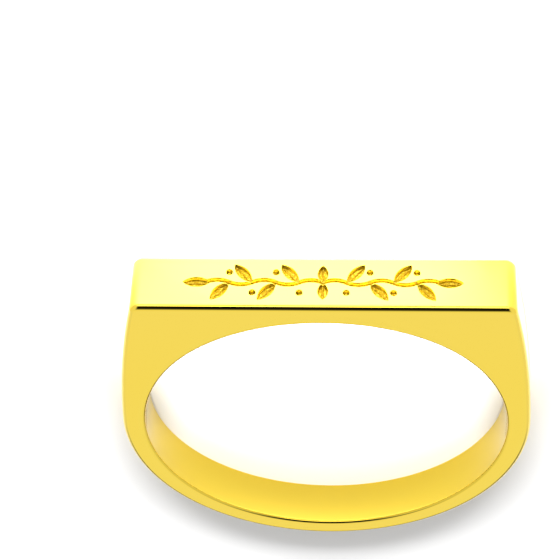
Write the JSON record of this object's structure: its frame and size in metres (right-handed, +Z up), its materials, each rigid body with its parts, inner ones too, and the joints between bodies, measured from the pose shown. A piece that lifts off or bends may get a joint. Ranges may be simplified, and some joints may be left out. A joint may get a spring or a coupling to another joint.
{
  "type": "flat-top bar ring",
  "caption": "Finger ring in polished yellow metal: a plain round shank that widens into a long flat bar on top, engraved with a leafy sprig.",
  "frame": {"origin": "on the surface that the ring lies on, straight under the centre of the finger bore; the middle of its outline there is 0.1 mm away", "axes": "+Z up, with the ring lying on its side; X runs along the bar, and the bar's engraved face looks along -Y; the bore's axis leans 0.86 degrees from +Z towards +Y, because the bar is wider than the shank"},
  "size_m": [0.0186, 0.0188, 0.0027],
  "materials": {
    "polished_gold": "mirror-polished yellow gold, with a grainy darker floor in the engraving"
  },
  "bodies": {
    "root": {"ring": "polished_gold"}
  },
  "joints": []
}
